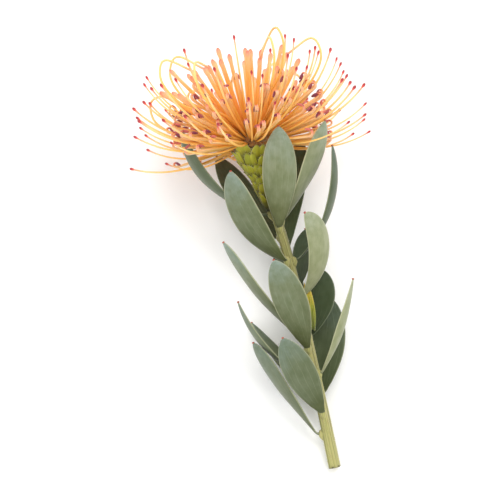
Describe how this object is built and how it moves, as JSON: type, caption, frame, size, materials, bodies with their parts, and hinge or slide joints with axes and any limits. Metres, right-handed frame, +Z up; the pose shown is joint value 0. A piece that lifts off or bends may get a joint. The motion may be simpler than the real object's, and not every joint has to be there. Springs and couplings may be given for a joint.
{
  "type": "pincushion protea flower",
  "caption": "Cut pincushion protea lying on a table: a domed orange bloom of petal bands and yellow pins, on a woody stem clad in grey-green leaves.",
  "frame": {"origin": "middle of the footprint on the table, at table height", "axes": "+Y along the stem towards the bloom, +Z up from the table, +X to the right seen from above"},
  "size_m": [0.115, 0.1988, 0.0968],
  "materials": {
    "stem": "matte, ribbed young bark",
    "involucre": "satin, hairy edges",
    "florets": "satin, waxy petals and pins",
    "leaf": "matte, finely hairy"
  },
  "bodies": {
    "root": {"stem": "stem", "involucre": "involucre", "florets": "florets", "leaf_01": "leaf", "leaf_02": "leaf", "leaf_03": "leaf", "leaf_04": "leaf", "leaf_05": "leaf", "leaf_06": "leaf", "leaf_07": "leaf", "leaf_08": "leaf", "leaf_09": "leaf", "leaf_10": "leaf", "leaf_11": "leaf", "leaf_12": "leaf", "leaf_13": "leaf", "leaf_14": "leaf", "leaf_15": "leaf", "leaf_16": "leaf", "leaf_17": "leaf", "leaf_18": "leaf", "leaf_19": "leaf"}
  },
  "joints": []
}
